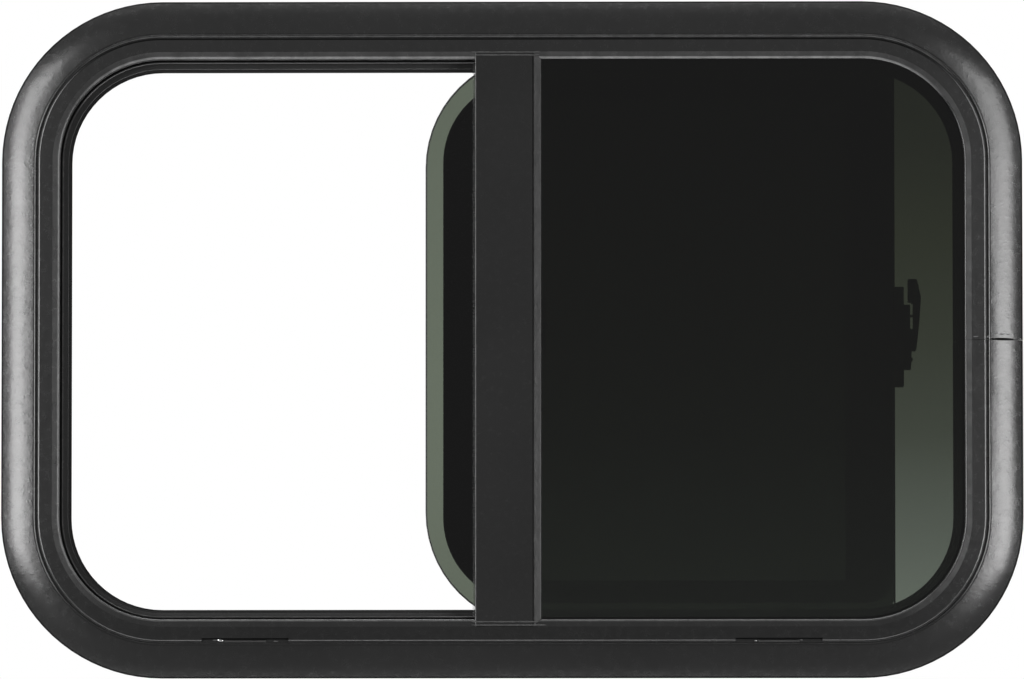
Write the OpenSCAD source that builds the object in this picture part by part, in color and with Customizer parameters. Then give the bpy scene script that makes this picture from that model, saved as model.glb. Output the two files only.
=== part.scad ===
// Caravan half slider window. Millimetres. Every node is drawn lying on its back, with x to the right,
// y up the wall and z towards the outdoors, and stand() then turns it upright. z = 0 is the plane that
// lies on the caravan's outer skin, and insets are measured inwards from the frame's outer edge.

/* [Whole window] */
// Overall width of the outer flange
window_width = 744; // [680:1:900]
// Overall height of the outer flange
window_height = 494; // [440:1:620]
// Outer corner radius of the flange, along the outer edge
corner_radius = 117; // [100:1:140]
// Thickness of the caravan wall that is clamped
wall_thickness = 30; // [26:1:45]

/* [Frame section] */
// How far the flange covers the wall round the cut-out
flange_overlap = 22; // [20:0.5:26]
// Gap between the wall's cut-out and the frame's body
cutout_gap = 1; // [0.5:0.1:2]
// Height of the flange's outer rim above the wall
rim_height = 2.5; // [2:0.1:4]
// Wall thickness of the extrusion
skin = 1.8; // [1.4:0.1:2]
// Width of the flat land that the rim stands on
rim_land = 3; // [2:0.1:4]
// Depth of the recess for the flange seal
seal_recess = 2.5; // [1.5:0.1:2.6]
// Slope of the curved flange where it ends at the drain groove, in degrees
flange_slope = 7; // [2:0.5:12]
// Inset of the drain groove's outer wall
groove_inset = 25.5; // [25.2:0.1:26.5]
// Width of the drain groove round the face
groove_width = 1; // [0.8:0.1:1.6]
// Depth of the drain groove
groove_depth = 2; // [1.9:0.1:2.4]
// Radius of the drain groove's shoulders
groove_shoulder = 1.8; // [1:0.1:1.8]
// Slope of the face between the drain groove and the lip, in degrees
face_slope = 4; // [0:0.5:5]
// Inset of the channel floor that the glass stands over
floor_inset = 33; // [32:0.5:35]
// Inset of the inner edge of the flat face
face_inset = 37.2; // [37:0.1:38.5]
// Run of the glazing lip from the flat face to its tip
lip_run = 5.3; // [4.5:0.1:6]
// Slope of the lip's chamfer, in degrees
lip_slope = 14; // [6:1:16]
// Radius of the lip's tip
lip_radius = 1.4; // [0.7:0.1:1.5]
// Thickness of the glazing lip
lip_thickness = 3.6; // [3.2:0.1:4]
// Inset of the tip of the rib between the fixed glass and the sash
rib_inset = 45; // [44:0.5:46]
// Thickness of that rib
rib_thickness = 1.5; // [1.2:0.1:2]
// Inset of the tip of the leg on the room side
leg_inset = 50.5; // [49:0.1:51]
// Thickness of that leg
leg_thickness = 1.6; // [1.2:0.1:2]
// Clear width of the port that the clamp screws bite into
port_width = 3.2; // [2.8:0.1:3.6]
// Gap at the butt seam where the bent extrusion closes
seam_gap = 0.3; // [0.1:0.05:0.4]
// Height of the butt seam
seam_level = -1.2; // [-10:0.1:10]
// Widest opening of that seam, on the curved flange
seam_mouth = 1.2; // [0.5:0.1:1.5]

/* [Glazing] */
// Thickness of each pane
glass_thickness = 4; // [3:0.5:4]
// Thickness of the seal in front of the fixed glass
front_seal = 1; // [0.6:0.1:1.5]
// Thickness of the seal behind the fixed glass
rear_seal = 1.5; // [1:0.1:2]
// Gap between the fixed glass and the channel floor, filled by the setting blocks
block_height = 3; // [2.5:0.1:3.2]
// Length of each setting block
block_length = 50; // [30:1:70]

/* [Mullion] */
// How far the mullion's left edge lies to the left of the window's centre
mullion_offset = 26.8; // [26:0.1:34]
// Width of the mullion's flat face
mullion_face = 42.4; // [42:0.1:50]
// Run of the mullion's chamfered lip
mullion_run = 6.1; // [5:0.1:6.5]
// Distance from the mullion's left edge to its glazing web
mullion_web = 31; // [31:0.1:33]
// Width of the mullion's glazing leg behind the fixed glass
mullion_leg = 14.5; // [12:0.1:15]
// Width of the slot that holds the mullion's brush
brush_slot = 3.2; // [2.6:0.1:3.6]
// Width of the brush's fibres
brush_width = 7.8; // [6:0.1:8.4]

/* [Sash] */
// Width of the sash glass
sash_width = 341.5; // [335:0.5:345]
// Distance from the frame's outer edge to the sash when it is slid fully open
open_margin = 93.3; // [90:0.1:110]
// Corner radius of the sash glass on its left side
sash_radius = 83; // [80:1:90]
// Corner radius of the sash glass on its right side
sash_square_radius = 25; // [22:1:30]
// Clearance that the moving sash keeps from the frame
moving_gap = 5; // [5:0.5:6]
// Bare glass between the left edge of the sash glass and the frame bonded behind it
bare_strip = 12.5; // [12:0.5:15]
// Depth of the bonded sash frame
sash_frame_depth = 10; // [8:0.5:12]
// Width of the sash frame's top and bottom rails
rail_width = 15; // [13:0.5:18]
// Width of the sash frame's left stile
left_stile = 30; // [26:0.5:34]
// Width of the sash's right stile
right_stile = 35; // [32:0.5:38]
// Corner radius of the bonded frame on the sash's right side
frame_square_radius = 22; // [20:1:28]
// Distance from the sash's edges to its glides, past its round corners
glide_setback = 15; // [10:1:20]
// Distance from the open side of the sash to its right glide
glide_margin = 33; // [30:1:45]
// Length of each nylon glide
glide_length = 30; // [24:1:36]
// Length of each stop in the channel
stop_length = 8; // [6:1:10]
// Running clearance of glides and brushes
running_gap = 0.3; // [0.3:0.05:0.5]

/* [Small pieces] */
// Clearance of pieces that are fitted into the frame
fit_gap = 0.2; // [0.1:0.05:0.3]
// Length over which the lower groove's shoulder is milled away at each drain slot
drain_length = 63; // [50:1:70]
// Length of each drain slot, in the middle of that
slot_length = 31; // [24:1:40]
// Height of each drain slot
drain_height = 2.5; // [2.4:0.1:3]
// Distance of each drain slot's middle from the window's centre
drain_middle = 194; // [180:1:200]
// Height of the latch above the window's middle
latch_rise = 38.7; // [30:0.1:60]
// Height of the latch base
latch_height = 72.9; // [68:0.1:90]
// Width of the latch base beside the sash
latch_width = 7; // [6:0.1:8]
// Width of the latch body that the lever lies against
latch_body = 12.6; // [11.5:0.1:14]
// Length of the lever
lever_length = 52.3; // [48:0.1:60]
// Radius of the latch pin
latch_pin_radius = 1; // [0.8:0.1:1.5]
// Thickness of the clamp ring on the room side
clamp_thickness = 2.2; // [1.8:0.1:3]
// Inset of the clamp ring's outer edge
clamp_outer = 4; // [2:0.5:6]
// Inset of the clamp ring's inner edge
clamp_inner = 36; // [34:0.5:40]
// Radius of the clamp ring's screw holes
clamp_hole = 2.2; // [1.8:0.1:2.4]
// Radius of the countersink for the screw heads
clamp_sink = 3.9; // [3.4:0.1:4.2]
// Spacing of the clamp screws along the top and bottom
clamp_pitch = 140; // [110:5:160]

/* [Hidden] */
$fn = 64;
half_w = window_width / 2;
half_h = window_height / 2;
// insets
body_inset = flange_overlap + cutout_gap;
port_start = body_inset + skin;
port_end = port_start + port_width;
groove_end = groove_inset + groove_width;
flange_end = groove_inset - groove_shoulder;
slot_start = groove_end + skin + 0.2 - drain_height;
lip_inset = face_inset + lip_run;
fixed_inset = floor_inset + block_height;
glass_corner = 2;
seal_setback = 0.5;
block_setback = 35;
mullion_block_width = 23.6;
mullion_block_length = 25;
sash_inset = floor_inset + moving_gap;
rail_inset = leg_inset + moving_gap;
port_middle = (port_start + port_end) / 2;
// depths, positive towards the outdoors
rib_front = rib_thickness;
fixed_back = rib_front + rear_seal;
fixed_front = fixed_back + glass_thickness;
lip_back = fixed_front + front_seal;
face = lip_back + lip_thickness;
sash_front = -moving_gap;
sash_back = sash_front - glass_thickness;
channel_back = sash_back - moving_gap;
leg_back = channel_back - leg_thickness;
sash_frame_back = sash_back - sash_frame_depth;
crest = face - (face_inset - groove_end - groove_shoulder) * tan(face_slope);
flange_rise = crest - rim_height;
flange_radius = norm([flange_end, flange_rise]) / (2 * sin(atan(flange_rise / flange_end) - flange_slope));
edge_radius = 0.8;
// mullion
mullion_left = -mullion_offset;
mullion_face_right = mullion_left + mullion_face;
mullion_right = mullion_face_right + mullion_run;
web_left = mullion_left + mullion_web;
leg_right = web_left + mullion_leg;
slot_left = mullion_left + skin + 0.8;
web_right = web_left + skin;
rib_half = half_h - rib_inset;
fixed_left = web_right + block_height;
// sash
sash_right = half_w - open_margin;
sash_left = sash_right - sash_width;
sash_half = half_h - sash_inset;
rail_half = half_h - rail_inset;
closed_left = -half_w + leg_inset + moving_gap - bare_strip;
travel = closed_left - sash_left;
stile_left = sash_right - right_stile;
glide_left_x = sash_left + sash_radius + glide_setback;
glide_right_x = sash_right - glide_margin - glide_length;
glide_top = sash_inset + 4;
pile_start = glide_top + running_gap;
pile_setback = 2.5;
shoe_gap = 0.5;
rail_wall = 3;
pull_setback = 8;
pull_width = 12;
pull_depth = 7;
// latch
latch_middle = (sash_frame_back + sash_back) / 2;
body_top = latch_rise - 13.1;
lever_top = latch_rise + 5.8;
pin_height = latch_rise - 21;
keeper_width = 6;
trough_width = 11;
seam_plate_length = 40;

// Turns a piece that was drawn lying on its back upright.
module stand() rotate([90, 0, 0]) children();

// A block between two corners.
module block(x1, x2, y1, y2, z1, z2) translate([x1, y1, z1]) cube([x2 - x1, y2 - y1, z2 - z1]);

// Sweeps a profile round the frame. The profile's x is minus the inset and its y is the depth.
module ring() {
    for (turn = [0, 180]) rotate([0, 0, turn]) {
        translate([half_w, half_h - corner_radius, 0]) rotate([90, 0, 0])
            linear_extrude(window_height - 2 * corner_radius) children();
        rotate([0, 0, 90]) translate([half_h, half_w - corner_radius, 0]) rotate([90, 0, 0])
            linear_extrude(window_width - 2 * corner_radius) children();
        translate([half_w - corner_radius, half_h - corner_radius, 0])
            rotate_extrude(angle = 90) translate([corner_radius, 0]) children();
        rotate([0, 0, 90]) translate([half_h - corner_radius, half_w - corner_radius, 0])
            rotate_extrude(angle = 90) translate([corner_radius, 0]) children();
    }
}

// A ring of plain rectangular section between two insets and two depths.
module flat_ring(inset1, inset2, z1, z2)
    ring() translate([-inset2, z1]) square([inset2 - inset1, z2 - z1]);

// A plate with one corner radius on its left side and one on its right.
module d_plate(x1, x2, half, r1, r2, z1, z2) {
    block(x1 + r1, x2 - r2, -half, half, z1, z2);
    block(x1, x1 + r1, -half + r1, half - r1, z1, z2);
    block(x2 - r2, x2, -half + r2, half - r2, z1, z2);
    for (s = [0, 1]) mirror([0, s, 0]) {
        translate([x1 + r1, half - r1, z1]) rotate([0, 0, 90])
            rotate_extrude(angle = 90) square([r1, z2 - z1]);
        translate([x2 - r2, half - r2, z1]) rotate_extrude(angle = 90) square([r2, z2 - z1]);
    }
}

// Points along a small arc.
function arc(cx, cy, r, a1, a2, n = 5) =
    [for (i = [0:n]) let (a = a1 + (a2 - a1) * i / n) [cx + r * cos(a), cy + r * sin(a)]];

// A lip's outline from the flat face at p, down its chamfer of that run and round its tip to its back.
function lip(p, run) = let (x = run - lip_radius) concat([[p, face]],
    arc(p + x, face - x * tan(lip_slope) - lip_radius / cos(lip_slope), lip_radius, 90 - lip_slope, 0, 8),
    [[p + run, lip_back + 0.2], [p + run - 0.2, lip_back]]);

module dot(middle, radius) translate(middle) circle(radius);

// A rounded tip of a rib that points inwards, from its outer side to its room side.
function tip(p, z1, z2) = [[p - 0.4, z1], [p, z1 - 0.4], [p, z2 + 0.4], [p - 0.4, z2]];

// The disc whose rim is the curved flange's outside, shrunk by g.
module flange_disc(g)
    dot([flange_end + flange_radius * sin(flange_slope), crest - flange_radius * cos(flange_slope)],
        flange_radius - g);

module frame_section() mirror([1, 0]) difference() {
    union() {
        intersection() {
            flange_disc(0);
            square([flange_end, face]);
        }
        polygon(concat(
            [[body_inset, crest - skin], [flange_end, crest - groove_shoulder],
                [groove_inset, crest - groove_shoulder], [groove_inset, crest - groove_depth],
                [groove_end, crest - groove_depth], [groove_end, crest - groove_shoulder],
                [groove_end + groove_shoulder, crest - groove_shoulder],
                [groove_end + groove_shoulder, crest]],
            lip(face_inset, lip_run),
            [[floor_inset, lip_back], [floor_inset, rib_front]],
            tip(rib_inset, rib_front, 0),
            [[floor_inset, 0], [floor_inset, channel_back]],
            tip(leg_inset, channel_back, leg_back),
            [[port_end + skin, leg_back], [port_end + skin, -wall_thickness],
                [port_end, -wall_thickness], [port_end, leg_back], [port_start, leg_back],
                [port_start, -wall_thickness], [body_inset, -wall_thickness]]));
        dot([flange_end, crest - groove_shoulder], groove_shoulder);
        dot([groove_end + groove_shoulder, crest - groove_shoulder], groove_shoulder);
    }
    // hollow behind the curved flange
    intersection() {
        flange_disc(skin);
        translate([rim_land, seal_recess + 1.5]) square([body_inset - 1.6 - rim_land, crest]);
    }
    // recess for the flange seal
    translate([rim_land, -1]) square([body_inset - 1.6 - rim_land, seal_recess + 1]);
    // hollow between the body's outer wall and the channel floor
    polygon([[port_start, channel_back], [floor_inset - 1.6, channel_back],
        [floor_inset - 1.6, crest - skin], [groove_end + skin, crest - skin],
        [groove_end + skin, crest - groove_depth - skin], [port_start, crest - groove_depth - skin]]);
}

// Plan of the mullion's face, grown by g, with its chamfer mitred into the frame's.
module mullion_plan(g) {
    e = half_h - face_inset - fit_gap + g;
    m = mullion_face_right + g * 0.4;
    r = mullion_run + 2;
    polygon([[mullion_left - g, e], [m, e], [m + r, e - r], [m + r, -e + r], [m, -e],
        [mullion_left - g, -e]]);
}

// A box in the place of a drain slot, s being the side, with a gap all round.
module drain_box(s, length, gap, z1, z2)
    block(s * drain_middle - length / 2 + gap, s * drain_middle + length / 2 - gap,
        -half_h + slot_start + gap, -half_h + slot_start + drain_height - gap, z1, z2);

// The opening where the seam gapes on the curved flange.
module seam_opening() translate([half_w, seam_level, rim_height]) linear_extrude(face) polygon([
    [-flange_end + 1.5, 0], [-flange_end * 0.75, seam_mouth * 0.5], [-flange_end * 0.4, seam_mouth * 0.45],
    [-4, 0], [-flange_end * 0.4, -seam_mouth * 0.4], [-flange_end * 0.75, -seam_mouth * 0.5]]);

module frame() color([0.05, 0.05, 0.05]) stand() difference() {
    ring() frame_section();
    // butt seam of the bent extrusion
    block(half_w - leg_inset - 2, half_w + 1, seam_level - seam_gap / 2, seam_level + seam_gap / 2,
        -wall_thickness - 1, face + 1);
    seam_opening();
    // notches for the mullion
    translate([0, 0, lip_back - 0.05]) linear_extrude(lip_thickness + 1) mullion_plan(fit_gap);
    for (s = [-1, 1]) {
        drain_box(s, drain_length, 0, crest - groove_depth, face + 1);
        drain_box(s, slot_length, 0, crest - groove_depth - skin - 1, face + 1);
    }
}

module mullion_section() difference() {
    polygon(concat([[mullion_left, 0]],
        arc(mullion_left + edge_radius, face - edge_radius, edge_radius, 180, 90),
        lip(mullion_face_right, mullion_run),
        [[web_right, lip_back], [web_right, rib_front], [leg_right, rib_front], [leg_right, 0]]));
    translate([mullion_left + skin, skin]) square([web_left - mullion_left - skin, face - 2 * skin]);
    translate([slot_left, -1]) square([brush_slot, skin + 2]);
}

module mullion() color([0.05, 0.05, 0.05]) stand() difference() {
    intersection() {
        translate([0, half_h, 0]) rotate([90, 0, 0]) linear_extrude(window_height) mullion_section();
        translate([0, 0, -1]) linear_extrude(face + 2) mullion_plan(0);
    }
    for (s = [0, 1]) mirror([0, s, 0])
        block(mullion_left - 1, mullion_right + 1, rib_half - fit_gap, half_h, -1, rib_front + fit_gap);
}

// A nylon block in the mullion's hollow end that stands on the frame's channel floor.
module mullion_block() color([0.1, 0.1, 0.1]) stand()
    block(web_left - fit_gap - mullion_block_width, web_left - fit_gap,
        half_h - floor_inset - mullion_block_length, half_h - floor_inset,
        skin + 0.1, lip_back - fit_gap);

module mullion_block_top() mullion_block();
module mullion_block_bottom() mirror([0, 0, 1]) mullion_block();

// The brush's backing strip lies in the mullion's slot, and its fibres spread past the mullion's edge.
module mullion_pile() color([0.08, 0.08, 0.08]) stand() {
    h = rib_half - running_gap - fit_gap;
    x = slot_left + brush_slot / 2;
    block(slot_left - 0.6, slot_left + brush_slot + 0.6, -h, h, skin, skin + 1.4);
    block(slot_left + fit_gap, slot_left + brush_slot - fit_gap, -h, h, -0.4, skin);
    block(x - brush_width * 0.8, x + brush_width * 0.2, -h, h, sash_front + running_gap, -0.4);
}

module fixed_glass() color([0.1, 0.12, 0.1]) stand()
    d_plate(fixed_left, half_w - fixed_inset, half_h - fixed_inset, glass_corner,
        corner_radius - fixed_inset, fixed_back, fixed_front);

// A seal that follows the fixed glass, with its outer edge just inside the edge of the glass.
module glass_seal(x, inset, z1, z2) difference() {
    e = fixed_inset + seal_setback;
    d_plate(fixed_left + seal_setback, half_w - e, half_h - e, glass_corner, corner_radius - e, z1, z2);
    d_plate(x, half_w - inset, half_h - inset, glass_corner, corner_radius - inset, z1 - 1, z2 + 1);
}

module fixed_glass_seal_front() color([0.03, 0.03, 0.03]) stand()
    glass_seal(mullion_right - seal_setback, lip_inset - seal_setback, fixed_front, lip_back);

module fixed_glass_seal_rear() color([0.03, 0.03, 0.03]) stand()
    glass_seal(leg_right - seal_setback, rib_inset - seal_setback, rib_front, fixed_back);

module setting_block(x) color([0.3, 0.3, 0.3]) stand()
    block(x - block_length / 2, x + block_length / 2, -half_h + floor_inset,
        -half_h + fixed_inset, fixed_back, fixed_front);

module setting_block_left() setting_block(mullion_right + block_setback + block_length / 2);
module setting_block_right() setting_block(half_w - corner_radius - 10 - block_length / 2);

module sash_glass() color([0.15, 0.18, 0.15]) stand()
    d_plate(sash_left, sash_right, sash_half, sash_radius, sash_square_radius, sash_back, sash_front);

module sash_frame() color([0.05, 0.05, 0.05]) stand() {
    r = corner_radius - leg_inset - moving_gap;
    x = sash_left + bare_strip;
    difference() {
        d_plate(x, sash_right, rail_half, r, frame_square_radius, sash_frame_back, sash_back);
        d_plate(x + left_stile, sash_right + 5, rail_half - rail_width, r - left_stile, 2,
            sash_frame_back - 1, sash_back + 1);
        // groove round the room side
        difference() {
            d_plate(x + rail_wall, sash_right + 9, rail_half - rail_wall, r - rail_wall, 2,
                sash_frame_back - 1, sash_back - 3.5);
            d_plate(x + rail_width - rail_wall, sash_right + 10, rail_half - rail_width + rail_wall,
                r - rail_width + rail_wall, 2, sash_frame_back - 2, sash_back - 2);
        }
        block(stile_left, sash_right + 1, -half_h, half_h, sash_frame_back - 1, sash_back + 1);
    }
}

// The right stile, with a finger pull that is undercut towards the latch.
module sash_stile() color([0.05, 0.05, 0.05]) stand() difference() {
    d_plate(stile_left, sash_right, rail_half, 0.5, frame_square_radius, sash_frame_back, sash_back);
    translate([stile_left + pull_setback, rail_half - frame_square_radius - 10, 0]) rotate([90, 0, 0])
        linear_extrude(2 * (rail_half - frame_square_radius - 10)) polygon([
            [0, sash_frame_back - 1], [0, sash_back - 3], [pull_width + 3, sash_back - 3],
            [pull_width + 3, sash_frame_back + 3], [pull_width, sash_frame_back + 2],
            [pull_width, sash_frame_back - 1]]);
}

// A nylon shoe with chamfered ends that is clipped over the glass edge at the foot of the sash.
module shoe(x) color([0.1, 0.1, 0.1]) stand() difference() {
    y1 = -half_h + floor_inset + running_gap;
    y2 = -half_h + glide_top;
    translate([0, 0, channel_back + shoe_gap]) linear_extrude(-channel_back - 2 * shoe_gap)
        polygon([[x + 1.5, y1], [x + glide_length - 1.5, y1], [x + glide_length, y1 + 1.5],
            [x + glide_length, y2], [x, y2], [x, y1 + 1.5]]);
    block(x - 1, x + glide_length + 1, -half_h + sash_inset, 0, sash_back, sash_front);
}

module sash_glide_left() shoe(glide_left_x);
module sash_glide_right() shoe(glide_right_x);
module sash_guide_left() mirror([0, 0, 1]) shoe(glide_left_x);
module sash_guide_right() mirror([0, 0, 1]) shoe(glide_right_x);

module channel_pile() color([0.08, 0.08, 0.08]) stand()
    flat_ring(pile_start, leg_inset - pile_setback, channel_back, sash_back - running_gap);

module stop(x) color([0.1, 0.1, 0.1]) stand()
    block(x, x + stop_length, -half_h + floor_inset, -half_h + sash_inset - 0.8, channel_back + 1, -1);

module track_stop_open() stop(glide_right_x + glide_length + running_gap);
module track_stop_closed() stop(glide_left_x + travel - running_gap - stop_length);

module baffle(s) color([0.06, 0.06, 0.06]) stand()
    drain_box(s, slot_length, 0.1, crest - groove_depth - skin + 0.2, crest - groove_depth - 0.5);

module weep_baffle_left() baffle(-1);
module weep_baffle_right() baffle(1);

// Outline of the latch base beside the sash's right edge, a plate with the body that carries the lever.
function base_outline() = let (foot = latch_rise - latch_height, nose = body_top - 39.9) concat(
    [[0, foot]], arc(latch_width - 1, foot + 1, 1, -90, 0),
    [[latch_width, body_top - 47.2], [latch_body - 0.6, body_top - 47.2]],
    arc(latch_body - 0.3, nose, 1.3, -80, 80, 7),
    [[latch_body, body_top - 18.2], [latch_body - 1, body_top - 17.2]],
    arc(latch_body - 1.6, body_top - 0.6, 0.6, 0, 90),
    [[latch_width, body_top]], arc(latch_width - 0.8, latch_rise - 0.8, 0.8, 0, 90), [[0, latch_rise]]);

// Outline of the thumb lever. Its lower end lies against the body, and its upper end stands off it.
function lever_outline() = let (x = latch_body + fit_gap, foot = lever_top - lever_length) concat(
    arc(x - 1.8, lever_top - 1, 1, 180, 90), arc(x + 3, lever_top - 1, 1, 90, 15),
    arc(x + 5.6, lever_top - 13.4, 1.2, 15, -8),
    [[x + 5.4, lever_top - 33.3], [x + 4.3, lever_top - 43.1]], arc(x + 2, foot + 1.4, 1.4, -10, -90),
    [[x, foot], [x, lever_top - 36.4]], arc(x + 0.1, lever_top - 35.6, 0.8, -80, 0),
    arc(x - 0.3, lever_top - 18, 1.2, 0, 90), [[x - 2.8, lever_top - 16.4]]);

module latch_base() color([0.04, 0.04, 0.04]) stand() difference() {
    translate([sash_right, 0, sash_frame_back]) linear_extrude(sash_frame_depth)
        polygon(base_outline());
    pin_hole(fit_gap / 2);
}

module latch_lever() color([0.04, 0.04, 0.04]) stand() difference() {
    translate([sash_right, 0, sash_frame_back - 2]) linear_extrude(sash_frame_depth)
        polygon(lever_outline());
    pin_hole(fit_gap / 2);
}

// The peg that bridges the slit between the body and the lever.
module pin_hole(g) translate([sash_right + 5 - g, pin_height, latch_middle])
    rotate([0, 90, 0]) cylinder(r = latch_pin_radius + g, h = latch_body - 2 + 2 * g);

module latch_pin() color([0.6, 0.6, 0.6]) stand() pin_hole(0);

// The catch that the lever hooks behind when the sash is shut, beside the mullion's glazing leg.
module latch_keeper() color([0.04, 0.04, 0.04]) stand() difference() {
    block(leg_right, leg_right + keeper_width, pin_height - 29, lever_top, -3, rib_front);
    block(leg_right + 2.5, leg_right + keeper_width - 1.5, lever_top - 14, lever_top - 4, -4, rib_front + 1);
}

// The ring on the room side, with a shallow trough that its screws stand in.
module clamp_ring() color([0.05, 0.05, 0.05]) stand() difference() {
    back = -wall_thickness - clamp_thickness;
    ring() mirror([1, 0]) polygon(concat(
        [[clamp_outer, -wall_thickness]],
        arc(clamp_outer + clamp_thickness, -wall_thickness, clamp_thickness, 180, 270),
        [[port_middle - trough_width / 2, back], [port_middle - trough_width / 2 + 0.6, back + 0.6],
            [port_middle + trough_width / 2 - 0.6, back + 0.6], [port_middle + trough_width / 2, back]],
        arc(clamp_inner - 1, back + 1, 1, 270, 360),
        [[clamp_inner, -wall_thickness]]));
    for (s = [0, 180]) rotate([0, 0, s]) {
        for (i = [-1.5:1:1.5]) clamp_screw(i * clamp_pitch, half_h - port_middle);
        for (i = [-1, 1]) {
            r = (corner_radius - port_middle) * sqrt(0.5);
            clamp_screw(half_w - port_middle, i * (half_h - corner_radius) / 2);
            clamp_screw(half_w - corner_radius + r, i * (half_h - corner_radius + r));
        }
    }
}

module clamp_screw(x, y) translate([x, y, -wall_thickness - clamp_thickness]) {
    translate([0, 0, -1]) cylinder(r = clamp_hole, h = clamp_thickness + 2);
    translate([0, 0, -0.01]) cylinder(r1 = clamp_sink, r2 = clamp_hole, h = clamp_thickness - 0.4);
}

module flange_seal() color([0.12, 0.12, 0.12]) stand()
    flat_ring(rim_land + 0.3, body_inset - 1.6 - 0.3, 0, seal_recess);

// The plate inside the extrusion's hollow that joins its two ends at the butt seam.
module seam_plate() color([0.6, 0.6, 0.6]) stand()
    block(half_w - floor_inset + 1.6 + fit_gap, half_w - port_start - fit_gap,
        seam_level - seam_plate_length / 2, seam_level + seam_plate_length / 2,
        channel_back + fit_gap, crest - groove_depth - skin - fit_gap);

frame();
mullion();
mullion_block_top();
mullion_block_bottom();
mullion_pile();
fixed_glass();
fixed_glass_seal_front();
fixed_glass_seal_rear();
setting_block_left();
setting_block_right();
sash_glass();
sash_frame();
sash_stile();
sash_glide_left();
sash_glide_right();
sash_guide_left();
sash_guide_right();
channel_pile();
track_stop_open();
track_stop_closed();
weep_baffle_left();
weep_baffle_right();
latch_base();
latch_lever();
latch_pin();
latch_keeper();
clamp_ring();
flange_seal();
seam_plate();
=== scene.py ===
"""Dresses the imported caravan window.

Metres, in the frame of the CAD model: X right, Y into the caravan, Z up.
"""

import math
import random

import bmesh
import bpy
from mathutils import Matrix, Vector
from mathutils.noise import noise as smooth_noise


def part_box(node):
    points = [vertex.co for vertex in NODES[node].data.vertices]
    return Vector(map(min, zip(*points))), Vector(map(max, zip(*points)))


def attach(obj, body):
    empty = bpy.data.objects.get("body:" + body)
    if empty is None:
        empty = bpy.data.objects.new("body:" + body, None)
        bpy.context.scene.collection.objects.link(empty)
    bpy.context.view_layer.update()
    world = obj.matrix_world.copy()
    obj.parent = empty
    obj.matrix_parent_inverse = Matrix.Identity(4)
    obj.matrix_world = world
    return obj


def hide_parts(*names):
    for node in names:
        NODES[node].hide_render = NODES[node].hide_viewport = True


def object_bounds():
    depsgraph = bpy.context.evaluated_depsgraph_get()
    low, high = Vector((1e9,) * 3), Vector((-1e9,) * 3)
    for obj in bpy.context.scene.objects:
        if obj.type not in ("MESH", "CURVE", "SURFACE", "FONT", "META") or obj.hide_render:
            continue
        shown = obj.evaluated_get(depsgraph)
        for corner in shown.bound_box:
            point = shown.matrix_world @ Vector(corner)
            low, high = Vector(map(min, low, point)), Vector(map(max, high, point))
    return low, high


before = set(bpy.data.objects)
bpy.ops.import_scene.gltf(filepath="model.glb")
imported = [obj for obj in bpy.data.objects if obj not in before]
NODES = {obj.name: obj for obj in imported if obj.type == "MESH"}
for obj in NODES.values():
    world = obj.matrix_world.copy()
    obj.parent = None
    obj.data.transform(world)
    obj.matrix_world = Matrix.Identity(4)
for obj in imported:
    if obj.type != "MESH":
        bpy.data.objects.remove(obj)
cad_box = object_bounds()
MM = 0.001

# Sizes of the frame that the scene's own pieces follow, in metres
HALF_W, HALF_H = cad_box[1].x, cad_box[1].z
CORNER = 0.117


# Materials
class Look:
    """A procedural material on a Principled shader. Node inputs are given by name or number."""

    def __init__(self, name, **fixed):
        self.material = bpy.data.materials.new(name)
        self.material.use_nodes = True
        self.nodes = self.material.node_tree.nodes
        self.links = self.material.node_tree.links
        self.shader = self.nodes["Principled BSDF"]
        for key, value in fixed.items():
            self.put(self.shader, key.replace("_", " "), value)
        coordinates = self.nodes.new("ShaderNodeTexCoord")
        self.place = coordinates.outputs["Object"]

    def put(self, node, socket, value):
        if isinstance(value, bpy.types.NodeSocket):
            self.links.new(value, node.inputs[socket])
        else:
            node.inputs[socket].default_value = value

    def add(self, kind, sockets, out=0, **props):
        node = self.nodes.new("ShaderNode" + kind)
        for key, value in props.items():
            setattr(node, key, value)
        for socket, value in sockets.items():
            self.put(node, socket, value)
        return node.outputs[out]

    def math(self, operation, a, b=0.0, clamp=False):
        return self.add("Math", {0: a, 1: b}, operation=operation, use_clamp=clamp)

    def stretched(self, x, y, z):
        """The object's coordinates with each axis scaled."""
        return self.add("Mapping", {"Vector": self.place, "Scale": (x, y, z)})

    def noise(self, scale, detail=2.0, roughness=0.5, vector=None):
        return self.add("TexNoise", {"Vector": vector or self.place, "Scale": scale, "Detail": detail,
                                     "Roughness": roughness})

    def remap(self, value, low, high, to_low, to_high):
        return self.add("MapRange", {0: value, 1: low, 2: high, 3: to_low, 4: to_high})

    def shade(self, value, dark, light, low=0.3, high=0.7):
        """A colour between two, by a value."""
        ramp = self.nodes.new("ShaderNodeValToRGB")
        ramp.color_ramp.elements[0].position, ramp.color_ramp.elements[1].position = low, high
        ramp.color_ramp.elements[0].color = (*dark, 1)
        ramp.color_ramp.elements[1].color = (*light, 1)
        self.put(ramp, "Fac", value)
        return ramp.outputs[0]

    def blend(self, share, a, b):
        return self.add("Mix", {0: share, 6: a, 7: b}, out=2, data_type="RGBA")

    def bump(self, height, distance, strength=1.0, under=None):
        sockets = {"Height": height, "Distance": distance, "Strength": strength}
        if under:
            sockets["Normal"] = under
        return self.add("Bump", sockets)

    def set(self, **sockets):
        for key, value in sockets.items():
            self.put(self.shader, key.replace("_", " "), value)
        return self


def grey(v, warm=0.0):
    return (v * (1 + warm), v, v * (1 - warm))


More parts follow.
